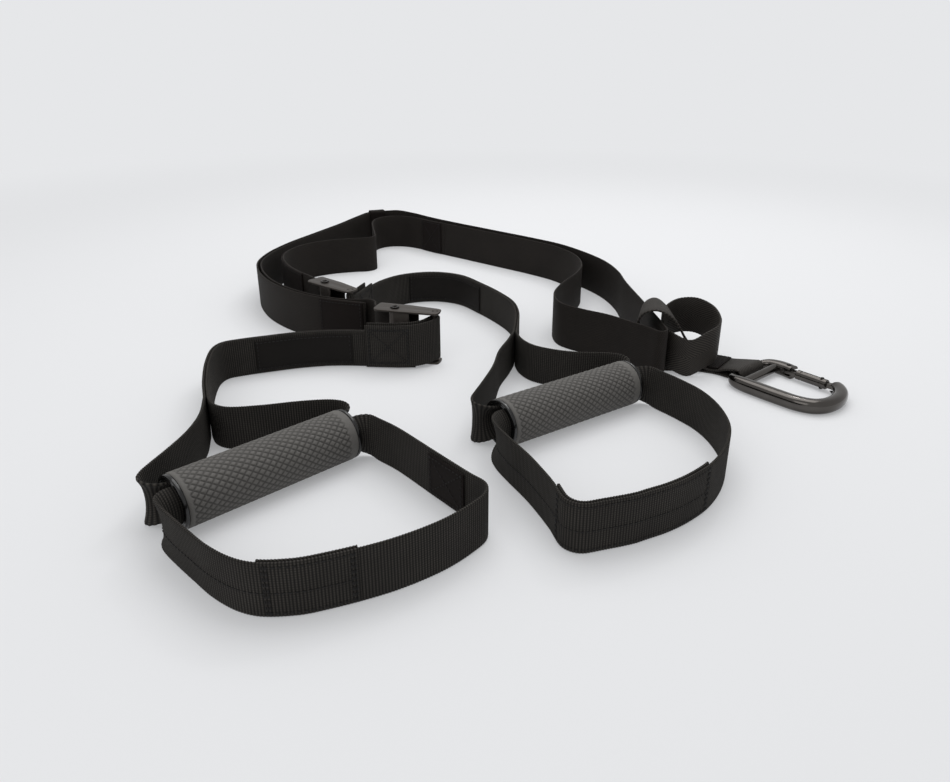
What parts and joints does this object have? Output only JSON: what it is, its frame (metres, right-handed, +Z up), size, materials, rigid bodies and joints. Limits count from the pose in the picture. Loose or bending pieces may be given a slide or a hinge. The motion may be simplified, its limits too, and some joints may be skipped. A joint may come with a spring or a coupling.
{
  "type": "suspension trainer",
  "caption": "Black webbing suspension trainer with rubber grips, foot loops, cam buckles and a carabiner, coiled loosely on the floor, straps on edge.",
  "frame": {"origin": "on the floor, under the middle of the laid-out outline", "axes": "+Z up from the floor, +Y away from the viewer towards the far bend, +X towards the carabiner"},
  "size_m": [0.4816, 0.7118, 0.0503],
  "materials": {
    "black_webbing": "ribbed matt",
    "twill_webbing": "twill",
    "sewn_patch": "stitched matt",
    "grip_rubber": "knurled matt",
    "black_plastic": "moulded",
    "buckle_steel": "dark satin",
    "gunmetal": "dark satin",
    "bright_pin": "bright"
  },
  "bodies": {
    "webbing": {"adjust_strap_a": "black_webbing", "anchor_ring": "twill_webbing", "anchor_strap": "twill_webbing", "anchor_tack": "sewn_patch", "buckle_frame_a": "buckle_steel", "buckle_frame_b": "buckle_steel", "buckle_tab_a": "black_webbing", "buckle_tab_b": "black_webbing", "cam_rivet_a": "bright_pin", "cam_rivet_b": "bright_pin", "cam_spring_a": "buckle_steel", "cam_spring_b": "buckle_steel", "foot_loop_a": "black_webbing", "foot_loop_b": "black_webbing", "foot_pad_a": "black_webbing", "foot_pad_b": "black_webbing", "foot_patch_a": "sewn_patch", "foot_patch_b": "sewn_patch", "handle_strap_a": "black_webbing", "handle_strap_b": "black_webbing", "label_patch_a": "sewn_patch", "label_patch_b": "sewn_patch", "main_strap_inner": "black_webbing", "main_strap_left": "black_webbing", "main_strap_right": "black_webbing", "rear_bar_a": "buckle_steel", "rear_bar_b": "buckle_steel", "strap_keeper_a": "sewn_patch", "strap_patch_b": "sewn_patch", "strap_sleeve_a": "sewn_patch", "strap_sleeve_b": "sewn_patch"},
    "carabiner": {"carabiner_body": "gunmetal", "gate_hinge_pin": "bright_pin"},
    "gate": {"carabiner_gate": "gunmetal", "gate_nose_pin": "bright_pin"},
    "cam_a": {"cam_lever_a": "buckle_steel"},
    "cam_b": {"cam_lever_b": "buckle_steel"},
    "grip_a": {"grip_rubber_a": "grip_rubber", "grip_tube_a": "black_plastic", "grip_cap_left_a": "black_plastic", "grip_cap_right_a": "black_plastic"},
    "grip_b": {"grip_rubber_b": "grip_rubber", "grip_tube_b": "black_plastic", "grip_cap_left_b": "black_plastic", "grip_cap_right_b": "black_plastic"}
  },
  "joints": [
    {"name": "carabiner_swing", "type": "hinge", "parent": "webbing", "child": "carabiner", "pos_m": [0.18136, -0.07733, 0.0052], "axis": [-0.757, -0.6534, 0], "range_deg": [0, 75]},
    {"name": "gate_hinge", "type": "hinge", "parent": "carabiner", "child": "gate", "pos_m": [0.21219, -0.07891, 0.0052], "axis": [0, 0, -1], "range_deg": [0, 24], "stiffness_Nm_per_rad": 0.02, "springref_deg": -17.19},
    {"name": "cam_swing_a", "type": "hinge", "parent": "webbing", "child": "cam_a", "pos_m": [-0.09132, -0.03766, 0.0213], "axis": [0, 0, -1], "range_deg": [0, 22], "stiffness_Nm_per_rad": 0.04, "springref_deg": -17.19},
    {"name": "cam_swing_b", "type": "hinge", "parent": "webbing", "child": "cam_b", "pos_m": [-0.15905, 0.03333, 0.0213], "axis": [0, 0, -1], "range_deg": [0, 22], "stiffness_Nm_per_rad": 0.04, "springref_deg": -17.19},
    {"name": "grip_turn_a", "type": "hinge", "parent": "webbing", "child": "grip_a", "pos_m": [-0.14704, -0.24423, 0.016], "axis": [0.7071, 0.7071, 0], "continuous": true},
    {"name": "grip_turn_b", "type": "hinge", "parent": "webbing", "child": "grip_b", "pos_m": [0.03386, -0.15793, 0.016], "axis": [0.8121, 0.5835, 0], "continuous": true}
  ]
}
